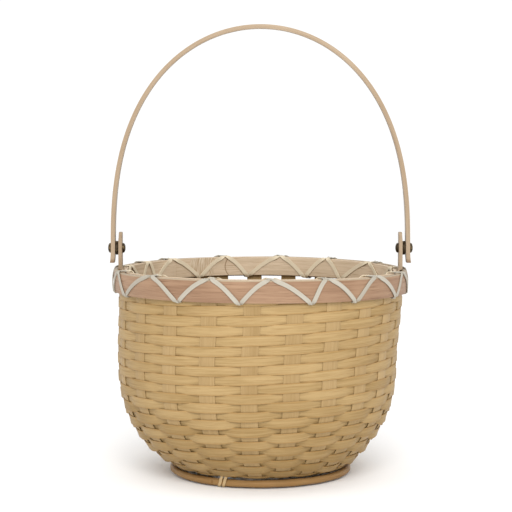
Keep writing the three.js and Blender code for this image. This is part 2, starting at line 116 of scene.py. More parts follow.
def with_rim(point, azimuth):
    """The tops of the stakes and of the weaving follow the hoops."""
    return leaning(point) + Vector((0, 0, rim_rise(azimuth) * smooth(*RIM_FOLLOWED, point.z)))


STAKES_IN_FRONT, STAKES_BEHIND = 11, 12
STAKE_COUNT = STAKES_IN_FRONT + STAKES_BEHIND
RIGHT_EAR, LEFT_EAR = 6, 6 + STAKES_BEHIND
FRONT_DRIFT, BACK_DRIFT = radians(5), radians(2.5)  # hand-set stakes lean to the right in front


def stake_azimuth(index):
    rounds = floor((index - RIGHT_EAR) / STAKE_COUNT)
    past = index - RIGHT_EAR - rounds * STAKE_COUNT
    if past <= STAKES_BEHIND:
        even = pi * (0.5 + past / STAKES_BEHIND)
    else:
        even = pi * (1.5 + (past - STAKES_BEHIND) / STAKES_IN_FRONT)
    drift = FRONT_DRIFT if cos(even) > 0 else -BACK_DRIFT
    return even + drift * cos(even) + 2 * pi * rounds


def outward(azimuth):
    return Vector((sin(azimuth), -cos(azimuth), 0))


def sideways(azimuth):
    return Vector((cos(azimuth), sin(azimuth), 0))


UP = Vector((0, 0, 1))

# An eased flat section: (side, depth) points round a splint, each from -1 to 1.
SPLINT = [(-1, -0.5), (-0.93, -0.95), (0, -1), (0.93, -0.95), (1, -0.5),
          (1, 0.5), (0.93, 0.95), (0, 1), (-0.93, 0.95), (-1, 0.5)]


def sweep(steps, section, place, bm=None, strand=0.0):
    """Rolls a grid into a bar whose section follows place(u, side, depth), u going from 0 to 1.
    place also returns the distance along and across the bar, which its grain follows."""
    bm = bm or bmesh.new()
    grain = bm.verts.layers.float_vector.get("grain") or bm.verts.layers.float_vector.new("grain")
    sides = len(section)
    made = bmesh.ops.create_grid(bm, x_segments=steps, y_segments=sides, size=0.5)["verts"]
    for vert in made:
        u = vert.co.x + 0.5
        side, depth = section[round((vert.co.y + 0.5) * sides) % sides]
        vert.co, along, across = place(u, side, depth)
        vert[grain] = (along, across, strand)
    bmesh.ops.remove_doubles(bm, verts=made, dist=1e-6)
    made = [vert for vert in made if vert.is_valid]
    open_edges = {edge for vert in made for edge in vert.link_edges if edge.is_boundary}
    bmesh.ops.holes_fill(bm, edges=list(open_edges), sides=0)
    return bm


SHARP_EDGE = radians(50)


def finish_piece(bm, name, finish, body, slot, *nodes):
    bmesh.ops.recalc_face_normals(bm, faces=bm.faces)
    mesh = bpy.data.meshes.new(name)
    bm.to_mesh(mesh)
    bm.free()
    mesh.shade_smooth()
    mesh.set_sharp_from_angle(angle=SHARP_EDGE)
    mesh.materials.append(finish)
    piece = bpy.data.objects.new(name, mesh)
    bpy.context.scene.collection.objects.link(piece)
    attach(piece, body)
    if nodes:
        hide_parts(*nodes)
    return piece


class Wire:
    """An output of a shader node, which can be used in sums."""

    def __init__(self, tree, socket):
        self.tree, self.socket = tree, socket

    def node(self, kind, inputs, out=0, stops=(), **settings):
        made = self.tree.nodes.new("ShaderNode" + kind)
        for key, value in settings.items():
            setattr(made, key, value)
        if stops:
            ramp = made.color_ramp.elements
            while len(ramp) < len(stops):
                ramp.new(1)
            for element, (position, colour) in zip(ramp, stops):
                element.position, element.color = position, (*colour, 1)
        for key, value in inputs.items():
            if isinstance(value, Wire):
                self.tree.links.new(value.socket, made.inputs[key])
            elif value is not None:
                made.inputs[key].default_value = value
        return Wire(self.tree, made.outputs[out])

    def maths(self, operation, first, second=0.0):
        return self.node("Math", {0: first, 1: second}, operation=operation)

    def __add__(self, other): return self.maths("ADD", self, other)
    def __radd__(self, other): return self.maths("ADD", other, self)
    def __sub__(self, other): return self.maths("SUBTRACT", self, other)
    def __rsub__(self, other): return self.maths("SUBTRACT", other, self)
    def __mul__(self, other): return self.maths("MULTIPLY", self, other)
    def __rmul__(self, other): return self.maths("MULTIPLY", other, self)
    def __truediv__(self, other): return self.maths("DIVIDE", self, other)
    def __pow__(self, other): return self.maths("POWER", self, other)


def new_finish(name, **constants):
    """A material, its shader, and a wire to build from. Constants go on the shader's own sockets."""
    finish = bpy.data.materials.new(name)
    finish.use_nodes = True
    shader = finish.node_tree.nodes["Principled BSDF"]
    for key, value in constants.items():
        shader.inputs[key.replace("_", " ")].default_value = value
    return finish, shader, Wire(finish.node_tree, None)


def colour_mix(wire, factor, first, second, how="MIX"):
    first = first if isinstance(first, Wire) else (*first, 1)
    second = second if isinstance(second, Wire) else (*second, 1)
    return wire.node("Mix", {0: factor, 6: first, 7: second}, out=2, data_type="RGBA", blend_type=how)


def bamboo(name, pale, deep, streak, fibre_width=0.35 * MM, streakiness=0.5, rough=0.5, marks=None,
           fibre_depth=2.6):
    """Split bamboo or cane: fine fibres along the splint, soft streaks and a slow drift of tone.
    marks(wire, along, across, colour) may change the colour at places along or across the piece."""
    finish, shader, wire = new_finish(name, Specular_IOR_Level=0.12)
    attribute = wire.node("Attribute", {}, out=1, attribute_name="grain")
    split = wire.node("SeparateXYZ", {0: attribute})
    along, across, strand = (Wire(wire.tree, split.socket.node.outputs[i]) for i in range(3))

    def streaks(length, width, seed, detail=2.0):
        place = wire.node("CombineXYZ", {0: along / length, 1: across / width + strand * 61,
                                         2: strand * 37 + seed})
        return wire.node("TexNoise", {"Vector": place, "Scale": 1.0, "Detail": detail,
                                      "Roughness": 0.6}) - 0.5

    fibres = streaks(30 * MM, fibre_width, 3.1, 3.0)
    broad = streaks(60 * MM, 2.2 * MM, 8.7)
    drift = streaks(90 * MM, 60 * MM, 1.3)
    tone = broad * streakiness * 2.6 + drift * 2.4 + fibres * fibre_depth + (strand - 0.5) * 0.8
    middle = tuple((a + b) / 2 for a, b in zip(pale, deep))
    base = wire.node("ValToRGB", {0: tone * 0.5 + 0.5}, stops=[(0.15, deep), (0.5, middle), (0.85, pale)])
    thread = wire.node("MapRange", {0: fibres, 1: 0.04, 2: 0.2, 3: 0.0, 4: streakiness})
    colour = colour_mix(wire, thread, base, streak)
    if marks:
        colour = marks(wire, along, across, colour)
    wire.tree.links.new(colour.socket, shader.inputs["Base Color"])
    wire.tree.links.new((rough + fibres * 0.25).socket, shader.inputs["Roughness"])
    bump = wire.node("Bump", {"Strength": 0.4, "Distance": 0.15 * MM, "Height": fibres})
    wire.tree.links.new(bump.socket, shader.inputs["Normal"])
    return finish


FAN_START, FAN_END = 22 * MM, 55 * MM  # where the stakes turn from the check to their own azimuths
CHECK_PITCH = 9.2 * MM
FRONT, RIGHT, BACK, LEFT = 0, pi / 2, pi, 1.5 * pi
MIDDLE_INSET = 1.1 * MM  # from the outside of the wall to the middle of the weave
STAKE_THICKNESS = 0.8 * MM
STAKE_FLOOR_WIDTH, STAKE_WIDTH = 7.8 * MM, 13.4 * MM
STAKE_SWAY = 0.2 * MM  # how far the weaving pulls a stake in and out
CHECK_LIFT = 0.5 * MM
STAKE_TOP = wall_length - 0.6 * MM
STAKE_WIDENS = (40 * MM, 110 * MM)
SWAY_FADES = (229 * MM, 237 * MM)
CHECK_ENDS = (26 * MM, 34 * MM)

# The weaving spirals up from here, and each time it passes the same stake it is this much higher.
WEAVE_START = 40.9 * MM
WEAVE_PITCH = 7.6 * MM
SLACK, SLACKENS = 1.2 * MM, (166 * MM, 226 * MM)
ROW_TILT, TILT_GROWS = 2.8 * MM, (88 * MM, 125 * MM)
CROWD, CROWD_GROWS, CROWD_FADES = 5 * MM, (45 * MM, 90 * MM), (95 * MM, 165 * MM)


def slackening(distance):
    """The rows are beaten down less tightly towards the rim, so they lie this much higher there."""
    return SLACK * smooth(*SLACKENS, distance)


def row_tilt(azimuth, distance):
    """The rows were not kept level: above the turn they lie higher on the right than on the left."""
    return ROW_TILT * sin(azimuth) * smooth(*TILT_GROWS, distance)


def crowding(distance):
    """The first rows on the wall are beaten up closer together than the ones above."""
    return CROWD * (1 - smooth(*CROWD_FADES, distance)) * smooth(*CROWD_GROWS, distance)


def plan_point(heading, offset, azimuth, distance):
    straight = outward(heading) * distance + sideways(heading) * offset
    return straight.lerp(outward(azimuth) * distance, smooth(FAN_START, FAN_END, distance))


def stake_sway(index, distance):
    if distance < WEAVE_START - WEAVE_PITCH:
        return 0
    centre = distance - slackening(distance) - row_tilt(stake_azimuth(index), distance)
    centre -= crowding(centre - 0.8 * CROWD)
    passes = (centre - WEAVE_START) / WEAVE_PITCH - index / STAKE_COUNT
    fade = 1 - smooth(*SWAY_FADES, distance)
    return -STAKE_SWAY * cos(pi * (index + passes)) * fade


def half_stake(heading, offset, index, lift):
    """Returns the place on half a stake for a distance from the middle of the floor."""
    azimuth = stake_azimuth(index)

    def point(distance, side, depth):
        outset = stake_sway(index % STAKE_COUNT, distance) + depth * STAKE_THICKNESS / 2
        x, z = wall_point(distance, MIDDLE_INSET - outset)
        width = STAKE_FLOOR_WIDTH + (STAKE_WIDTH - STAKE_FLOOR_WIDTH) * smooth(*STAKE_WIDENS, distance)
        if distance < FAN_END:
            here = plan_point(heading, offset, azimuth, distance)
            way = (plan_point(heading, offset, azimuth, distance + 1 * MM) - here).normalized()
            here += Vector((-way.y, way.x, 0)) * side * width / 2
        else:
            here = outward(azimuth + side * width / 2 / x) * x
        raised = lift(distance) * (1 - smooth(*CHECK_ENDS, distance))
        return with_rim(here + UP * (z + raised), azimuth)

    return point


def check_lift(wave, sign):
    """How a stake rises and dips as it crosses the others in the floor."""
    return lambda distance: sign * CHECK_LIFT * wave(pi * distance / CHECK_PITCH)


LONG_STEPS, BYE_STEPS = 150, 76


def long_stake(near, far, strand):
    def place(u, side, depth):
        distance = (2 * u - 1) * STAKE_TOP
        if distance < 0:
            point = near(-distance, -side, depth)
        else:
            point = far(distance, side, depth)
        return point, distance, side * STAKE_WIDTH / 2

    return sweep(LONG_STEPS, SPLINT, place, strand=strand)


BYE_STAKE = RIGHT_EAR + STAKES_BEHIND // 2
STAKE_TONES = (0.35, 0.8)


def front_stake(row):
    return int(row + 0.5)


def back_stake(row):
    """The other end of a lengthwise stake. The rows step over the odd one in the middle."""
    return int(BYE_STAKE - row + (-0.5 if row > 0 else 0.5))


chance = random.Random(23)
stake_finish = bamboo("stake_bamboo", (0.415, 0.288, 0.141), (0.29, 0.19, 0.08), (0.21, 0.118, 0.042),
                      fibre_width=0.3 * MM, streakiness=0.45)
for i in range(5):
    row = i - 2
    offset = row * CHECK_PITCH
    right = half_stake(RIGHT, offset, RIGHT_EAR + row, check_lift(sin, (-1) ** i))
    left = half_stake(LEFT, -offset, LEFT_EAR - row, check_lift(sin, -(-1) ** i))
    stake = long_stake(left, right, chance.uniform(*STAKE_TONES))
    finish_piece(stake, f"crosswise_stake_{i + 1}_splint",
                 stake_finish, "basket", "stake_bamboo", f"crosswise_stake_{i + 1}")
for i in range(6):
    row = i - 2.5
    offset = row * CHECK_PITCH
    lift = check_lift(cos, -sin(pi * row))
    front = half_stake(FRONT, offset, front_stake(row), lift)
    back = half_stake(BACK, -offset, back_stake(row), lift)
    stake = long_stake(front, back, chance.uniform(*STAKE_TONES))
    finish_piece(stake, f"lengthwise_stake_{i + 1}_splint",
                 stake_finish, "basket", "stake_bamboo", f"lengthwise_stake_{i + 1}")

BYE_FOOT = 47 * MM
bye_point = half_stake(stake_azimuth(BYE_STAKE), 0, BYE_STAKE, lambda _: 0)


def place_bye(u, side, depth):
    distance = BYE_FOOT + u * (STAKE_TOP - BYE_FOOT)
    return bye_point(distance, side, depth), distance, side * STAKE_WIDTH / 2


bye_stake = sweep(BYE_STEPS, SPLINT, place_bye, strand=chance.uniform(*STAKE_TONES))
finish_piece(bye_stake, "bye_stake_splint", stake_finish, "basket", "stake_bamboo", "bye_stake")

# ---------------------------------------------------------------- the weavers
# Thin flat splints of one width, woven in and out of the stakes in one long spiral from the floor to
# just under the hoops. Each is used up in a few rounds, and the next one starts beside its end.
WEAVER_THICKNESS = 0.62 * MM
WEAVER_SWING = 0.7 * MM
WEAVE_TOP = 240.1 * MM  # the top edge of the weaving, which is tucked in behind the hoops
SLOT_HEIGHT = 7.4 * MM
TUCK, SHINGLE = 0.35 * MM, 0.8 * MM  # low on the bowl each row leans out over the one under it
SLOT_MIDDLE = radians(169)
SLOT_ENDS = (radians(26), radians(34))  # from its middle
LOW_STARTS, LOW_ENDS = (78 * MM, 88 * MM), (130 * MM, 172 * MM)  # the rows low on the bowl
LOW_SWING = 0.6 * MM  # they bulge this much more
UPRIGHT = 0.12  # the share of their lean that the rows higher up have
SQUASH = 0.03  # what is left of a row's width above the top edge
UNEVENNESS = 0.28 * MM
DISHING = 0.08 * MM
MEAN_RADIUS = 110 * MM
STEPS_PER_STAKE = 12


def stake_bearing(index, distance):
    """The azimuth at which a stake passes a distance from the middle, also where it still fans out."""
    azimuth = stake_azimuth(index)
    if distance >= FAN_END:
        return azimuth
    turns, which = divmod(index, STAKE_COUNT)
    heading, offset = check_place[which]
    here = plan_point(heading, offset, azimuth, distance)
    bearing = atan2(here.x, -here.y)
    return bearing + 2 * pi * round((azimuth - bearing) / (2 * pi))


check_place = {BYE_STAKE: (stake_azimuth(BYE_STAKE), 0)}
for row in (-2, -1, 0, 1, 2):
    check_place[RIGHT_EAR + row] = (RIGHT, row * CHECK_PITCH)
    check_place[LEFT_EAR - row] = (LEFT, -row * CHECK_PITCH)
for row in (-2.5, -1.5, -0.5, 0.5, 1.5, 2.5):
    check_place[front_stake(row) % STAKE_COUNT] = (FRONT, row * CHECK_PITCH)
    check_place[back_stake(row)] = (BACK, -row * CHECK_PITCH)


@lru_cache(maxsize=None)
def wobble(seed, count):
    dice = random.Random(seed)
    return [dice.uniform(-1, 1) for _ in range(count)]


LAST_STAKE = 700
hand = wobble(5, LAST_STAKE)
swell = wobble(8, LAST_STAKE)


def weave_top(azimuth):
    """Along the back the weaving stops short of the hoops and leaves a slot between the stakes."""
    from_slot = abs((azimuth - SLOT_MIDDLE + pi) % (2 * pi) - pi)
    return WEAVE_TOP - SLOT_HEIGHT * (1 - smooth(*SLOT_ENDS, from_slot))


def weave_point(k, side, depth, outset):
    """A point on the spiral. k counts the stakes it has passed, and even ones are passed outside."""
    stake = floor(k)
    between = k - stake
    ease = smooth(0, 1, between)
    jitter = (hand[stake] * (1 - ease) + hand[stake + 1] * ease) * UNEVENNESS
    centre = WEAVE_START + k * WEAVE_PITCH / STAKE_COUNT + jitter
    centre += slackening(centre) + crowding(centre)
    on_rim = stake_azimuth(stake) * (1 - between) + stake_azimuth(stake + 1) * between
    centre += row_tilt(on_rim, centre)
    first = stake_bearing(stake, centre)
    azimuth = first + (stake_bearing(stake + 1, centre) - first) * between
    swing = cos(pi * k)
    flat = swing * (1.5 - 0.5 * swing * swing)
    plump = swell[stake] * (1 - ease) + swell[stake + 1] * ease
    low_down = smooth(*LOW_STARTS, centre) * (1 - smooth(*LOW_ENDS, centre))
    width = WEAVE_PITCH * (1.015 + 0.05 * max(flat, 0) + 0.012 * plump + 0.01 * low_down)
    distance = centre + side * width / 2
    top = weave_top(azimuth)
    if distance > top:
        distance = top + (distance - top) * SQUASH
    reach = WEAVER_SWING + LOW_SWING * low_down
    inset = MIDDLE_INSET - flat * reach - outset - depth * WEAVER_THICKNESS / 2
    proud = TUCK if side > 0 else TUCK + SHINGLE * (0.5 + 0.5 * flat)
    inset += side * proud * (UPRIGHT + (1 - UPRIGHT) * low_down)
    inset -= DISHING * (1 - side * side) * (depth > 0)
    x, z = wall_point(distance, inset)
    point = with_rim(outward(azimuth) * x + UP * z, azimuth)
    return point, azimuth * MEAN_RADIUS, side * width / 2


def weave(start, end, strand):
    """One splint of the spiral. Its first end lies outside the end of the one before."""
    steps = round((end - start) * STEPS_PER_STAKE)

    def place(u, side, depth):
        k = start + u * (end - start)
        lap = 1 - smooth(start + 1, start + 2, k)
        return weave_point(k, side, depth, lap * WEAVER_THICKNESS)

    return sweep(steps, SPLINT, place, strand=strand)


def edge_crease_shade(wire, along, across, colour):
    """The edges of a splint are painted darker and browner: painted shade for the creases between the rows.
    """
    edge = wire.node("MapRange", {0: wire.maths("ABSOLUTE", across), 1: 2.6 * MM, 2: 3.9 * MM, 4: 0.35})
    return colour_mix(wire, edge, colour, (0.33, 0.165, 0.04))


# The weaving's colour has painted shade along each splint's edges, standing in for the creases between rows.
weaver_finish = bamboo("weaving_splint", (0.405, 0.28, 0.13), (0.268, 0.172, 0.066), (0.2, 0.105, 0.033),
                       fibre_width=0.6 * MM, streakiness=0.6, marks=edge_crease_shade, fibre_depth=4.2)
LAP = 1.4  # stakes
# Each splint starts in a gap between stakes behind the ears. These count the stakes passed by then.
last = (WEAVE_TOP - WEAVE_START + WEAVE_PITCH / 2 + 1.5 * MM) / WEAVE_PITCH * STAKE_COUNT
joins = [0, 86.5, 169.5, 239.5, 312.5, 384.5, 469.5, 543.5, last]
for i, (start, end) in enumerate(zip(joins, joins[1:])):
    rising_paleness = 0.1 + 0.15 * i + chance.uniform(-0.06, 0.06)  # the splints higher up are paler
    node = "floor_weave" if i == 0 else f"weaver_{i}"
    lap = LAP if i < len(joins) - 2 else 0
    finish_piece(weave(start, end + lap, rising_paleness), f"{node}_splint",
                 weaver_finish, "basket", "weaving_splint", node)

# ---------------------------------------------------------------- the foot ring
# A length of round rattan bent into a hoop under the edge of the floor. Its two ends are shaved to
# half their thickness and lie side by side under the front tie.
CANE_RADIUS = 3.05 * MM
FOOT_RING_RADIUS = 74.6 * MM
TIE_THICKNESS = 0.7 * MM
FOOT_GAP = 0.3 * MM
ROUND = [(cos(2 * pi * i / 20), sin(2 * pi * i / 20)) for i in range(20)]
ring_z = TIE_THICKNESS + FOOT_GAP + CANE_RADIUS
tie_gaps = {1: 21, 2: 6, 3: 14}  # each tie goes through the floor in the gap after this stake


def gap_azimuth(index):
    return (stake_azimuth(index) + stake_azimuth(index + 1)) / 2


tie_azimuths = {number: gap_azimuth(gap) for number, gap in tie_gaps.items()}
tie_azimuths[1] += 0.08 - 2 * pi  # the front one is pulled along a little in its gap
front_tie = tie_azimuths[1]
SCARF = radians(9)
SHAVED = 0.02
RING_WAVER, RING_RAISED = 0.1 * MM, 0.08 * MM


def place_foot_ring(u, side, depth):
    azimuth = front_tie - SCARF * 0.75 + u * (2 * pi + SCARF)
    first, final = u * (2 * pi + SCARF) < SCARF, (1 - u) * (2 * pi + SCARF) < SCARF
    thick = 1 + 0.03 * sin(7 * azimuth) + 0.02 * sin(19 * azimuth + 1)
    x, z = side * CANE_RADIUS * thick, depth * CANE_RADIUS * thick
    if first:
        x = max(x, SHAVED * CANE_RADIUS)
    if final:
        x = min(x, -SHAVED * CANE_RADIUS)
    waver = RING_WAVER * sin(3 * azimuth) + RING_RAISED
    point = outward(azimuth) * (FOOT_RING_RADIUS + x) + UP * (ring_z + z * 0.98 + waver)
    return point, azimuth * FOOT_RING_RADIUS, atan2(depth, side) * CANE_RADIUS


rattan_finish = bamboo("rattan", (0.37, 0.222, 0.09), (0.24, 0.13, 0.046), (0.13, 0.062, 0.02),
                       fibre_width=0.28 * MM, streakiness=0.6, rough=0.45)
finish_piece(sweep(220, ROUND, place_foot_ring, strand=0.4), "foot_ring_cane",
             rattan_finish, "basket", "rattan", "foot_ring")

# ---------------------------------------------------------------- the foot ring's ties
# Each tie is a narrow strip of split cane wound twice round the ring and the edge of the floor, and
# pulled tight, so its turns lean and lie a little apart.
tie_finish = bamboo("tie_cane", (0.60, 0.46, 0.27), (0.44, 0.31, 0.16), (0.28, 0.17, 0.07),
                    fibre_width=0.3 * MM, streakiness=0.5, rough=0.5)
TIE_TOP = FLOOR_UNDERSIDE + 4.0 * MM
TIE_TURNS, TIE_START = 2.12, 0.2
TIE_STRIP, TIE_STRIP_THICKNESS = 2.5 * MM, 0.68 * MM
TIE_SPREAD, TIE_LEAN, TIE_STRAY = 8 * MM, 1.5 * MM, 0.3 * MM
TIE_LENGTH = 60 * MM
TIE_ROUND = 2.8  # exponent of the loop's outline: 2 would be an ellipse


def tie_loop(turn):
    """A rounded oblong round the ring and the floor's edge: its (x, z) and its outward direction."""
    half_width = CANE_RADIUS + 0.28 * MM + TIE_THICKNESS / 2
    low, high = 0.45 * MM + TIE_THICKNESS / 2, TIE_TOP
    middle, reach = (low + high) / 2, (high - low) / 2
    angle = 2 * pi * turn
    x = half_width * abs(cos(angle)) ** (2 / TIE_ROUND) * (1 if cos(angle) > 0 else -1)
    z = reach * abs(sin(angle)) ** (2 / TIE_ROUND) * (1 if sin(angle) > 0 else -1)
    return Vector((x, middle + z)), Vector((x / half_width ** 2, z / reach ** 2)).normalized()


def tie_place(azimuth, seed):
    stray = TIE_STRAY * wobble(seed, 9)[0]

    def place(u, side, depth):
        turn = TIE_START + u * TIE_TURNS
        loop, out = tie_loop(turn)
        shift = (u - 0.5) * TIE_SPREAD + TIE_LEAN * sin(2 * pi * turn) + stray
        loop = loop + out * (depth * TIE_STRIP_THICKNESS / 2)
        across = shift + side * TIE_STRIP / 2
        middle = outward(azimuth) * (FOOT_RING_RADIUS + loop.x)
        point = middle + sideways(azimuth) * across + UP * loop.y
        return point, u * TIE_LENGTH, side * TIE_STRIP / 2

    return place


for number, azimuth in tie_azimuths.items():
    tie = sweep(90, SPLINT, tie_place(azimuth, number), strand=number * 0.29)
    finish_piece(tie, f"foot_ring_tie_{number}_cane", tie_finish, "basket", "pale_cane",
                 f"foot_ring_tie_{number}")

# ---------------------------------------------------------------- the two hoops and the filler
# The rim is a sandwich. The outer hoop is a split of thick bamboo with its rounded skin outwards,
# and the inner hoop a flatter, paler one. Each is bent round until its shaved ends lap. Two thin
# strips on edge fill the space between them, inside the tops of the stakes.
HOOP_HEIGHT = 19.2 * MM
HOOP_MIDDLE = RIM_TOP - HOOP_HEIGHT / 2
OUTER_HOOP = (121.5 * MM, 125.2 * MM)
INNER_HOOP = (113.3 * MM, 116.1 * MM)


def crowned(points, crown):
    """A half-round section: flat inside at depth -1, and swelling to depth 1 in its middle."""
    arc = [(-1 + 2 * i / points, 1 - crown * (2 * i / points - 1) ** 2) for i in range(points + 1)]
    flat = [(-1, -0.75), (-0.96, -1), (0.96, -1), (1, -0.75)]
    return flat + [(side * 0.995, depth) for side, depth in arc[::-1]]


WAVE, RIPPLE = 0.18 * MM, 0.12 * MM
HOOP_EASE = 0.2 * MM
LAP_PLAY = 0.05 * MM


def hoop_place(radii, start, scarf, seed, planed):
    """Both shaved ends lie in the last stretch, one inside the other."""
    inner, outer = radii

    def place(u, side, depth):
        turn = u * (2 * pi + scarf)
        azimuth = start + turn
        low, high = inner, outer
        split = (inner + outer) / 2
        if turn < scarf:
            low = split + LAP_PLAY - (split - inner) * smooth(0.9, 1.0, turn / scarf)
            low = max(low, inner)
        left = 2 * pi + scarf - turn
        if left < scarf:
            high = split - LAP_PLAY + (outer - split) * smooth(0.9, 1.0, left / scarf)
            high = min(high, outer)
        radius = low + (high - low) * (depth + 1) / 2
        wave = WAVE * sin(3 * azimuth + seed) + RIPPLE * sin(7 * azimuth)
        height = HOOP_MIDDLE + side * (HOOP_HEIGHT / 2 - HOOP_EASE) + wave * (1 + side) / 2
        height += rim_rise(azimuth) + planed * (1 - side) / 2  # the lower edge was planed
        return outward(azimuth) * radius + UP * height, azimuth * radius, side * HOOP_HEIGHT / 2

    return place


def pared_edge(wire, along, across, colour):
    """The skin is pared off along the hoop's top edge, and the pale flesh shows."""
    edge = HOOP_HEIGHT / 2
    pared = wire.node("MapRange", {0: across, 1: edge - 1.1 * MM, 2: edge - 0.7 * MM})
    return colour_mix(wire, pared, colour, (0.36, 0.28, 0.19))


def scarf_marks(wire, along, across, colour):
    """The joint in the inner hoop shows as a thin line and a patch that was rasped across the grain."""
    turn = along / INNER_HOOP[0] / radians(1) - 360
    line = wire.node("MapRange", {0: wire.maths("ABSOLUTE", turn - 196.5), 1: 0.35, 2: 0.15, 4: 0.7})
    patch = wire.node("MapRange", {0: wire.maths("ABSOLUTE", turn - 208.5), 1: 6.3, 2: 5.5})
    place = wire.node("CombineXYZ", {0: along / (0.8 * MM), 1: across / (14 * MM)})
    rasp = wire.node("TexNoise", {"Vector": place, "Scale": 1.0, "Detail": 2.0})
    scored = colour_mix(wire, (rasp - 0.35) * 3, (0.40, 0.28, 0.17), (0.64, 0.54, 0.40))
    return colour_mix(wire, line, colour_mix(wire, patch, colour, scored), (0.2, 0.11, 0.05))


hoop_skin = bamboo("hoop_skin", (0.365, 0.232, 0.145), (0.25, 0.147, 0.09), (0.145, 0.078, 0.044),
                   fibre_width=0.7 * MM, streakiness=0.9, rough=0.42, marks=pared_edge)
hoop_flesh = bamboo("hoop_flesh", (0.62, 0.49, 0.35), (0.44, 0.335, 0.22), (0.30, 0.19, 0.10),
                    fibre_width=0.8 * MM, streakiness=0.8, rough=0.5, marks=scarf_marks)
outer_section = crowned(10, 0.42)
inner_section = [(side, -depth) for side, depth in crowned(8, 0.25)]
HOOP_STEPS, HOOP_LAP = 300, radians(24)
outer_place = hoop_place(OUTER_HOOP, radians(128), HOOP_LAP, 1.0, 0.9 * MM)
outer_hoop = sweep(HOOP_STEPS, outer_section, outer_place, strand=0.35)
finish_piece(outer_hoop, "outer_hoop_split", hoop_skin, "basket", "hoop_skin", "outer_hoop")
inner_place = hoop_place(INNER_HOOP, radians(198), HOOP_LAP, 2.0, 2.4 * MM)
inner_hoop = sweep(HOOP_STEPS, inner_section, inner_place, strand=0.75)
finish_piece(inner_hoop, "inner_hoop_split", hoop_flesh, "basket", "hoop_flesh", "inner_hoop")

FILLER_RADII = (116.7 * MM, 118.0 * MM)
FILLER_HEIGHT, FILLER_TOP = 11 * MM, RIM_TOP - 0.1 * MM
FILLER_END = radians(4.5)


def filler_place(middle):
    sweep_angle = pi - 2 * FILLER_END

    def place(u, side, depth):
        azimuth = middle + (u - 0.5) * sweep_angle
        radius = FILLER_RADII[0] + (FILLER_RADII[1] - FILLER_RADII[0]) * (depth + 1) / 2
        height = FILLER_TOP - (1 - side) / 2 * FILLER_HEIGHT + rim_rise(azimuth)
        return outward(azimuth) * radius + UP * height, azimuth * radius, side * FILLER_HEIGHT / 2

    return place


for name, middle in (("front", FRONT), ("back", BACK)):
    strip = sweep(120, SPLINT, filler_place(middle), strand=0.9)
    finish_piece(strip, f"rim_filler_{name}_strip", hoop_flesh, "basket", "hoop_flesh",
                 f"rim_filler_{name}")

# ---------------------------------------------------------------- the lashing
# One long flat cane binds the rim. It goes round twice, over the hoops and down through the same
# gaps between the stakes, and leans one way on its first round and the other way on its second.
LASHED_GAPS = [19, 21, 22, 24, 25, 27, 28, 30, 32, 33, 35, 36, 38, 39, 41]  # counted on round the rim
# How many degrees the hand let each dip, and the crest after it, stray from the middle.
DIP_STRAYS = [0, -3.7, 3.8, -2.2, 0.8, -4.4, 0, -2, -4.4, -0.8, -4.3, 4.3, 1.5, -1.5, 0]
CREST_STRAYS = [2.3, 1, -2, -3.3, -1.7, -1.5, 0, -3.8, -1.4, -1.6, -0.9, 2, 0, -1, 0]
LASHING_WIDTH = 3.5 * MM
LASHING_THICKNESS = 0.75 * MM
dips = [gap_azimuth(gap) + radians(stray) for gap, stray in zip(LASHED_GAPS, DIP_STRAYS)]
dips.append(dips[0] + 2 * pi)
crests = [(dips[i] + dips[i + 1]) / 2 + radians(stray) for i, stray in enumerate(CREST_STRAYS)]
LASH_IN, LASH_OUT = INNER_HOOP[0] - 0.15 * MM, OUTER_HOOP[1] + 0.15 * MM
LASH_LOW, LASH_HIGH = RIM_TOP - HOOP_HEIGHT + 0.5 * MM, RIM_TOP + 0.1 * MM
LASH_CORNER = 1.3 * MM
LASH_STEP = 1.4 * MM  # the inner hoop's lower edge, above the outer one's
SKIN_CROWN = 0.9 * MM  # how far the outer hoop's skin falls away towards its edges
PINCH, SLIP = radians(0.35), radians(0.6)  # half the cane's slant under the hoops, and over them
RUN_POINTS = 15
SECOND_ROUND = 0.35 * MM  # it lies over the first


def rim_side(outside, climb):
    """(radius, height) and outward direction on a face of the rim, rounded at its top and bottom."""
    face, sign, low = (LASH_OUT, 1, LASH_LOW) if outside else (LASH_IN, -1, LASH_LOW + LASH_STEP)
    height = low + (LASH_HIGH - low) * climb
    from_end = min(height - low, LASH_HIGH - height)
    out = Vector((sign, 0))
    radius = face - sign * SKIN_CROWN * (2 * climb - 1) ** 2 * outside
    if from_end < LASH_CORNER:
        tip = asin(1 - from_end / LASH_CORNER)
        radius -= sign * LASH_CORNER * (1 - cos(tip))
        out = Vector((sign * cos(tip), sin(tip) * (1 if climb > 0.5 else -1)))
    return Vector((radius, height)), out


def cane_path(rises_outside):
    """The middle line of one round: points, and the direction that its face looks in at each."""
    path = []
    for dip, crest, after in zip(dips, crests, dips[1:]):
        runs = ((rises_outside, dip + PINCH, crest - SLIP, 1),
                (not rises_outside, crest + SLIP, after - PINCH, -1))
        for outside, start, end, way in runs:
            for j in range(RUN_POINTS):
                t = j / (RUN_POINTS - 1)
                along = t if way > 0 else 1 - t
                climb = 0.3 * along + 0.7 * sin(along * pi / 2)
                here, out = rim_side(outside, climb)
                path.append((start + (end - start) * t, here, out))
            over, step = (LASH_HIGH, 0) if way > 0 else (LASH_LOW, LASH_STEP)
            ends = (LASH_OUT, LASH_IN) if outside else (LASH_IN, LASH_OUT)
            turn_end = end + 2 * (SLIP if way > 0 else PINCH)
            for j in (1, 2, 3):
                t = j / 4
                radius = ends[0] + (ends[1] - ends[0]) * (0.15 + 0.7 * t)
                height = over + step * (t if outside else 1 - t)
                here = Vector((radius, height))
                path.append((end + (turn_end - end) * t, here, Vector((0, way))))
    return path


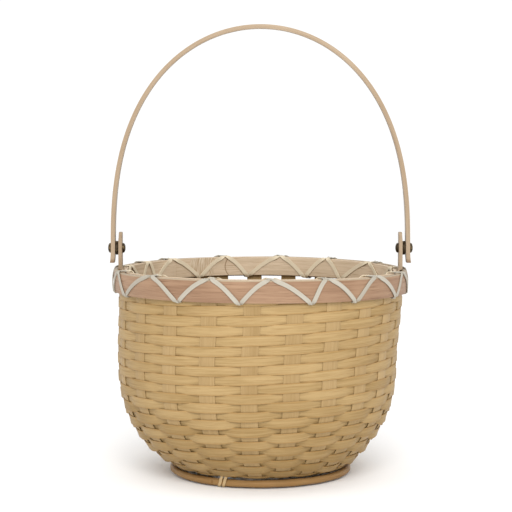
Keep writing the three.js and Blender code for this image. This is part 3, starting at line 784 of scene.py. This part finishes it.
def lashing(rises_outside, lift, bm, strand):
    path = cane_path(rises_outside)[:-2]  # its end is tucked in beside its start
    centres = [outward(a) * here.x + UP * (here.y + rim_rise(a)) for a, here, out in path]
    normals = [(outward(a) * out.x + UP * out.y).normalized() for a, here, out in path]
    lengths = [0]
    for before, after in zip(centres, centres[1:]):
        lengths.append(lengths[-1] + (after - before).length)

    def place(u, side, depth):
        i = round(u * (len(path) - 1))
        way = (centres[min(i + 1, len(path) - 1)] - centres[max(i - 1, 0)]).normalized()
        out = (normals[i] - way * normals[i].dot(way)).normalized()
        across = way.cross(out)
        point = centres[i] + across * side * LASHING_WIDTH / 2
        point += out * (lift + (depth + 1) / 2 * LASHING_THICKNESS)
        return point, lengths[i], side * LASHING_WIDTH / 2

    return sweep(len(path) - 1, SPLINT, place, bm=bm, strand=strand)


def inside_painted_light(wire, along, across, colour):
    """Inside the basket the cane is painted paler and warmer: painted bounce light for the shaded inside of
    the rim.
    """
    place = wire.node("TexCoord", {}, out=3)
    flat = wire.node("VectorMath", {0: place, 1: (1, 1, 0)}, operation="MULTIPLY")
    radius = wire.node("VectorMath", {0: flat}, out=1, operation="LENGTH")
    inside = wire.node("MapRange", {0: radius, 1: 119 * MM, 2: 115 * MM})
    return colour_mix(wire, inside * 0.65, colour, (0.74, 0.62, 0.43))


# Inside the rim the cane's colour is painted paler and warmer, as painted bounce light.
cane_finish = bamboo("pale_cane", (0.45, 0.42, 0.355), (0.35, 0.315, 0.255), (0.25, 0.205, 0.14),
                     fibre_width=0.3 * MM, streakiness=0.35, rough=0.45, marks=inside_painted_light)
both_rounds = lashing(True, 0, None, 0.2)
both_rounds = lashing(False, SECOND_ROUND, both_rounds, 0.6)
finish_piece(both_rounds, "rim_lashing_cane", cane_finish, "basket", "pale_cane", "rim_lashing")

# ---------------------------------------------------------------- the ears
# Two thick bamboo tongues that stand up from the rim over the middle stake of each side. Each has a
# thinned tail that runs down inside its stake, under the inner hoop, and a head bored for the rivet.
PIVOT = Vector((0, 0, 192.7 * MM))
EAR_WIDTH = 12 * MM
ear_low, ear_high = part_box("right_ear")
EAR_SHOULDER = RIM_TOP + 0.3 * MM
EAR_HEAD = (117.8 * MM, 121.1 * MM)
TAIL_THICKNESS = 1.6 * MM
TAIL_INSET = 3.3 * MM  # from the outside of the wall, so that it lies behind its stake
EAR_THINNING, THINNED_LENGTH = 0.5 * MM, 9 * MM
EAR_CORNER = 2 * MM


def ear_place(sign):
    def place(u, side, depth):
        height = ear_low[2] + u * (ear_high[2] - ear_low[2])
        behind_stake = side_x + (height - side_z) * tan(FLARE) - TAIL_INSET
        head = smooth(EAR_SHOULDER - 1 * MM, EAR_SHOULDER + 3 * MM, height)
        outer = behind_stake if height < EAR_SHOULDER else EAR_HEAD[1]
        inner = (behind_stake - TAIL_THICKNESS) * (1 - head) + EAR_HEAD[0] * head
        outer -= EAR_THINNING * smooth(ear_high[2] - THINNED_LENGTH, ear_high[2], height)
        x = inner + (outer - inner) * (depth + 1) / 2
        half = EAR_WIDTH / 2 * (1 - 0.06 * smooth(RIM_TOP, ear_high[2], height))
        from_top = ear_high[2] - height
        if from_top < EAR_CORNER:
            half -= EAR_CORNER * (1 - sqrt(max(0, 1 - (1 - from_top / EAR_CORNER) ** 2)))
        return leaning(Vector((sign * x, sign * side * half, height))), height, side * half

    return place


BAIL_LENGTH = 535 * MM  # the length of the strip, which its grain is measured along


def sawn_ends(wire, along, across, colour):
    """The end grain is darker, and so are the last threads of skin beside it."""
    from_middle = wire.maths("ABSOLUTE", along - BAIL_LENGTH / 2)
    end = BAIL_LENGTH / 2
    sawn = wire.node("MapRange", {0: from_middle, 1: end - 5 * MM, 2: end - 0.5 * MM})
    return colour_mix(wire, sawn * 0.75, colour, (0.15, 0.075, 0.035))


bail_finish = bamboo("bail_bamboo", (0.405, 0.31, 0.215), (0.30, 0.215, 0.137), (0.20, 0.125, 0.065),
                     fibre_width=0.45 * MM, streakiness=0.6, rough=0.42, marks=sawn_ends)
for name, sign in (("left", -1), ("right", 1)):
    ear = sweep(110, SPLINT, ear_place(sign), strand=0.3 + 0.2 * sign)
    finish_piece(ear, f"{name}_ear_tongue", bail_finish, "basket", "bail_bamboo", f"{name}_ear")

# ---------------------------------------------------------------- the bail
# A single flat strip of bamboo steamed into a tall arch, with its skin outside. It is bored near
# each end for a rivet, and its ends are sawn square below the rivets.
BAIL_THICKNESS, BAIL_WIDTH, BAIL_TAIL = 3.8 * MM, 12 * MM, 12.4 * MM
_, bail_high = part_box("bail")
BAIL_TOP = 382.2 * MM
BAIL_SPAN = bail_high[0] - BAIL_THICKNESS / 2
BAIL_RISE = BAIL_TOP - BAIL_THICKNESS / 2 - PIVOT.z
BAIL_SQUARENESS = 2.52  # exponent of the arch's height: 2 would be an ellipse
TAIL_SHARE = 0.03
TAIL_SPREAD = 0.8 * MM


def bail_line(u):
    """The middle of the strip: straight tails under the pivots, and the arch between."""
    if u < TAIL_SHARE or u > 1 - TAIL_SHARE:
        end = 1 if u < 0.5 else -1
        down = (TAIL_SHARE - min(u, 1 - u)) / TAIL_SHARE
        x = end * (BAIL_SPAN + TAIL_SPREAD * down * down)
        return Vector((x, -BAIL_TAIL * down)), Vector((end, 0))
    t = pi * (u - TAIL_SHARE) / (1 - 2 * TAIL_SHARE)
    x, z = BAIL_SPAN * cos(t), BAIL_RISE * sin(t) ** (2 / BAIL_SQUARENESS)
    steepness = BAIL_SQUARENESS * (z / BAIL_RISE) ** (BAIL_SQUARENESS - 1)
    out = Vector((2 * x / BAIL_SPAN ** 2, steepness / BAIL_RISE))
    return Vector((x, z)), out.normalized()


def place_bail(u, side, depth):
    middle, out = bail_line(u)
    point = middle + out * depth * BAIL_THICKNESS / 2
    half = BAIL_WIDTH / 2
    place = Vector((point.x, side * half, PIVOT.z + point.y))
    return place, u * BAIL_LENGTH, side * half + depth * BAIL_THICKNESS


bail = sweep(260, SPLINT, place_bail, strand=0.55)
finish_piece(bail, "bail_strip", bail_finish, "bail", "bail_bamboo", "bail")

# ---------------------------------------------------------------- rivets, washers and brads
# Each hinge is a two-part rivet of aged brass through the ear, a spacer washer and the bail. Two
# small brads pin the inner hoop to the tail of each ear.
brass, brass_shader, wire = new_finish("aged_brass", Metallic=0.9)
position = wire.node("TexCoord", {}, out=3)
patches = wire.node("TexNoise", {"Vector": position, "Scale": 420.0, "Detail": 4.0})
scuffs = wire.node("TexNoise", {"Vector": position, "Scale": 1900.0, "Detail": 2.0})
worn = wire.node("MapRange", {0: patches * 0.7 + scuffs * 0.3, 1: 0.5, 2: 0.68})
tarnish = colour_mix(wire, worn, (0.05, 0.035, 0.02), (0.26, 0.18, 0.08))
wire.tree.links.new(tarnish.socket, brass_shader.inputs["Base Color"])
wire.tree.links.new((0.5 - worn * 0.2 + scuffs * 0.1).socket, brass_shader.inputs["Roughness"])
dents = wire.node("Bump", {"Strength": 0.3, "Distance": 0.05 * MM, "Height": scuffs})
wire.tree.links.new(dents.socket, brass_shader.inputs["Normal"])


def turned(profile, sides, sign, height, y=0.0):
    """Spins (radius, x) points about a line along X."""
    bm = bmesh.new()
    bm.verts.layers.float_vector.new("grain")
    rings = []
    for radius, x in profile:
        angles = [2 * pi * i / sides for i in range(sides)] if radius else [0]
        rings.append([bm.verts.new((x, -radius * sin(angle), radius * cos(angle))) for angle in angles])
    for near, far in zip(rings, rings[1:]):
        for i in range(sides):
            corners = [ring[j % len(ring)] for ring, j in ((near, i), (near, i + 1), (far, i + 1), (far, i))]
            bm.faces.new(list(dict.fromkeys(corners)))  # three corners where a ring is a single point
    bmesh.ops.remove_doubles(bm, verts=bm.verts, dist=1e-6)
    turn = Matrix.Rotation(0 if sign > 0 else pi, 4, "Z")
    bmesh.ops.transform(bm, matrix=Matrix.Translation((0, y, height)) @ turn, verts=bm.verts)
    return bm


def dome(face_x, top_x, radius, points=7):
    """A rivet head's profile, from its rim on the face to the middle of its crown."""
    lip = 0.25 * (top_x - face_x)
    turns = [i * pi / 2 / points for i in range(points)]
    curve = [(radius * cos(turn), face_x + lip + (top_x - face_x - lip) * sin(turn)) for turn in turns]
    return [(radius, face_x)] + curve + [(0, top_x)]


HEAD_RADIUS, SHANK_RADIUS, CAP_BORE = 4.2 * MM, 2 * MM, 2.2 * MM
WASHER_BORE, WASHER_RADIUS, WASHER_EDGE = 2.3 * MM, 5.9 * MM, 0.25 * MM
BRAD_HEAD_RADIUS, BRAD_HEAD_HEIGHT, BRAD_SHANK_RADIUS = 1 * MM, 0.8 * MM, 0.45 * MM
POST_PLAY = 0.1 * MM
CAP_PLAY = 0.2 * MM


for name, sign in (("left", -1), ("right", 1)):
    post_low, post_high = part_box("right_rivet_post")
    cap_low, cap_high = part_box("right_rivet_cap")
    washer_low, washer_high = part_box("right_washer")
    head_x, tip_x = EAR_HEAD[0] - POST_PLAY, post_high[0]
    post = dome(head_x, post_low[0], HEAD_RADIUS)[::-1]
    post += [(SHANK_RADIUS, head_x), (SHANK_RADIUS, tip_x), (0, tip_x)]
    finish_piece(turned(post, 32, sign, PIVOT.z), f"{name}_rivet_post_turned", brass, "basket",
                 "aged_brass", f"{name}_rivet_post")
    bottom_x = tip_x + CAP_PLAY
    cap = [(0, bottom_x), (CAP_BORE, bottom_x), (CAP_BORE, cap_low[0])]
    cap += dome(cap_low[0], cap_high[0], HEAD_RADIUS)
    finish_piece(turned(cap, 32, sign, PIVOT.z), f"{name}_rivet_cap_turned", brass, "basket",
                 "aged_brass", f"{name}_rivet_cap")
    inner_x, outer_x, chamfered = washer_low[0], washer_high[0], WASHER_RADIUS - WASHER_EDGE
    washer = [(WASHER_BORE, inner_x), (chamfered, inner_x), (WASHER_RADIUS, inner_x + WASHER_EDGE),
              (WASHER_RADIUS, outer_x - WASHER_EDGE), (chamfered, outer_x),
              (WASHER_BORE, outer_x), (WASHER_BORE, inner_x)]
    finish_piece(turned(washer, 40, sign, PIVOT.z), f"{name}_washer_turned", brass, "basket",
                 "aged_brass", f"{name}_washer")
    for i in (1, 2):
        low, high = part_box(f"right_brad_{i}")
        height, y = (low[2] + high[2]) / 2, (low[1] + high[1]) / 2
        face = low[0] + BRAD_HEAD_HEIGHT
        nail = dome(face, low[0], BRAD_HEAD_RADIUS, 4)[::-1]
        nail += [(BRAD_SHANK_RADIUS, face), (BRAD_SHANK_RADIUS, high[0]), (0, high[0])]
        finish_piece(turned(nail, 16, sign, height, y), f"{name}_brad_{i}_nail", brass, "basket",
                     "aged_brass", f"{name}_brad_{i}")

# ---------------------------------------------------------------- studio
# A pale floor that the basket stands on, soft light from all round and a large soft lamp in front.
FLOOR_RADIUS, FLOOR_PALENESS = 6, 0.95
SKY_STRENGTH = 1.06
floor_mesh = bmesh.new()
bmesh.ops.create_circle(floor_mesh, cap_ends=True, segments=64, radius=FLOOR_RADIUS)
floor_data = bpy.data.meshes.new("floor")
floor_mesh.to_mesh(floor_data)
floor_mesh.free()
paleness = (FLOOR_PALENESS, FLOOR_PALENESS, FLOOR_PALENESS, 1)
floor_finish, _, _ = new_finish("floor", Roughness=0.9, Base_Color=paleness)
floor_data.materials.append(floor_finish)
floor_object = bpy.data.objects.new("floor", floor_data)
bpy.context.scene.collection.objects.link(floor_object)

world = bpy.data.worlds.new("studio")
bpy.context.scene.world = world
world.use_nodes = True
sky = world.node_tree.nodes["Background"]
sky.inputs["Color"].default_value = (1, 1, 1, 1)
sky.inputs["Strength"].default_value = SKY_STRENGTH
bpy.context.scene.view_settings.view_transform = "Standard"


LAMP_PLACE, LAMP_AIM = Vector((0.05, -1.7, 1.15)), Vector((0, 0, 0.12))
lamp_data = bpy.data.lights.new("front_softbox", "AREA")
lamp_data.shape, lamp_data.size, lamp_data.energy = "DISK", 1.0, 24
lamp = bpy.data.objects.new("front_softbox", lamp_data)
lamp.location = LAMP_PLACE
lamp.rotation_euler = (LAMP_AIM - LAMP_PLACE).to_track_quat("-Z", "Y").to_euler()
bpy.context.scene.collection.objects.link(lamp)

CAMERA_PLACE = (-0.0038, -1.465, 0.3002)
CAMERA_DIP = radians(4.47)
camera = bpy.data.objects.new("camera", bpy.data.cameras.new("camera"))
camera.data.sensor_width = 36
camera.data.lens = 120.9
camera.location = CAMERA_PLACE
camera.rotation_euler = (pi / 2 - CAMERA_DIP, 0, 0)
bpy.context.scene.collection.objects.link(camera)
bpy.context.scene.camera = camera
